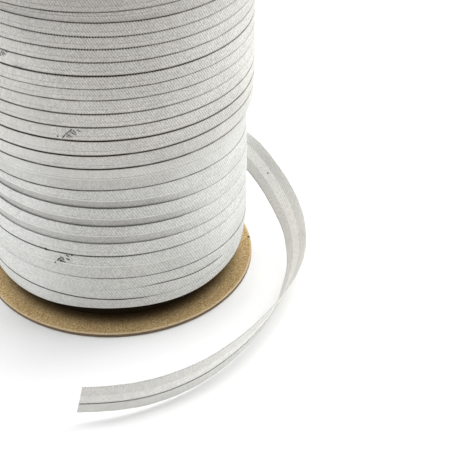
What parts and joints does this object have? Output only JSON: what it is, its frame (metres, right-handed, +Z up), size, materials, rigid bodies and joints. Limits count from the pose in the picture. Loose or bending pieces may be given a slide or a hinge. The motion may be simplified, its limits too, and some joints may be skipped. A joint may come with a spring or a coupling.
{
  "type": "roll of bias tape on a round board disc",
  "caption": "Cross-wound cylinder of folded grey bias tape standing on a flat round board disc, with its loose end looped round the front and cut square.",
  "frame": {"origin": "centre of the board disc's underside, on the roll's axis", "axes": "+Z up along the roll's axis, -Y towards the front, where the loose end crosses"},
  "size_m": [0.194, 0.2457, 0.24],
  "materials": {
    "kraft_board": "matt brown kraft board with fine dark and light fibres",
    "wound_cotton": "light grey cotton, fine diagonal weave, matt",
    "folded_cotton": "light grey cotton, fine diagonal weave, matt, folded edges double"
  },
  "bodies": {
    "root": {"base_disc": "kraft_board", "wound_tape": "wound_cotton", "loose_end": "folded_cotton"}
  },
  "joints": []
}
